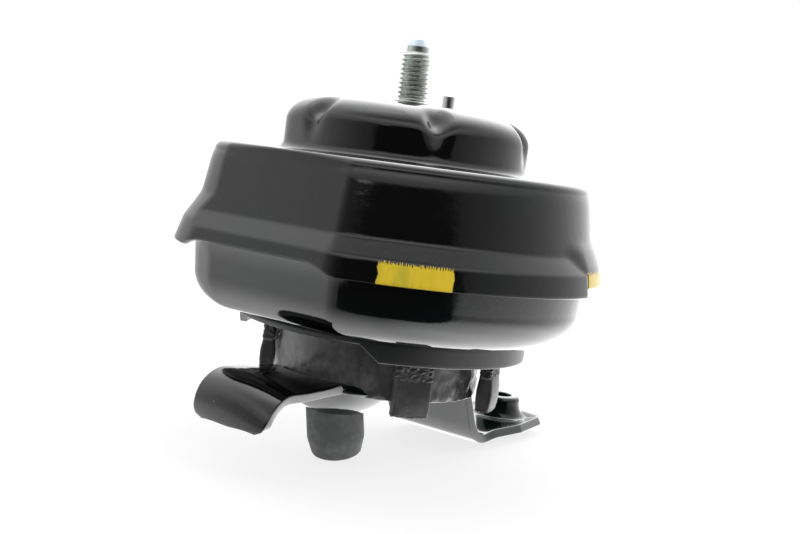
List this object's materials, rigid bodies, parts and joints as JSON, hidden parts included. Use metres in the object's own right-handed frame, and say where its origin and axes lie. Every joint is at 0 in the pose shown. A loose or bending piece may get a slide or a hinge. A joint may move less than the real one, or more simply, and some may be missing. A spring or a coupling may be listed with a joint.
{
  "type": "engine mount",
  "caption": "Fluid-damped engine mount: stud and pin on a fluted cap, flat-sided pressed housing and pan, clawed stop ring, and a strap bracket with a rubber stub and a threaded foot.",
  "frame": {"origin": "on the stud's axis where its thread starts, 2 mm above the cap's top face", "axes": "+Z along the stud, up; +Y from the bracket's front arm with the stub to its rear foot with the threaded boss; the housing's flat faces -Y"},
  "size_m": [0.1409, 0.1595, 0.1374],
  "materials": {
    "black_paint": "gloss black coating on pressed steel",
    "zinc_steel": "zinc plated, rolled thread",
    "bright_steel": "plain turned steel",
    "bare_steel": "dull phosphated steel, hidden",
    "cast_core": "die cast, hidden",
    "rubber": "matte moulded rubber with flash"
  },
  "bodies": {
    "root": {"stud": "zinc_steel", "locating_pin": "bright_steel", "top_cap": "black_paint", "upper_housing": "black_paint", "lower_pan": "black_paint", "stop_ring": "black_paint", "claw_buffer_1": "rubber", "claw_buffer_2": "rubber", "claw_buffer_3": "rubber", "claw_buffer_4": "rubber", "main_rubber": "rubber", "inner_core": "cast_core", "core_rivet": "black_paint", "outer_ring": "bare_steel", "orifice_plate_lower": "cast_core", "orifice_plate_upper": "cast_core", "decoupler": "rubber", "bellows": "rubber", "bracket": "black_paint", "stub_peg": "bare_steel", "locating_stub": "rubber"}
  },
  "joints": []
}
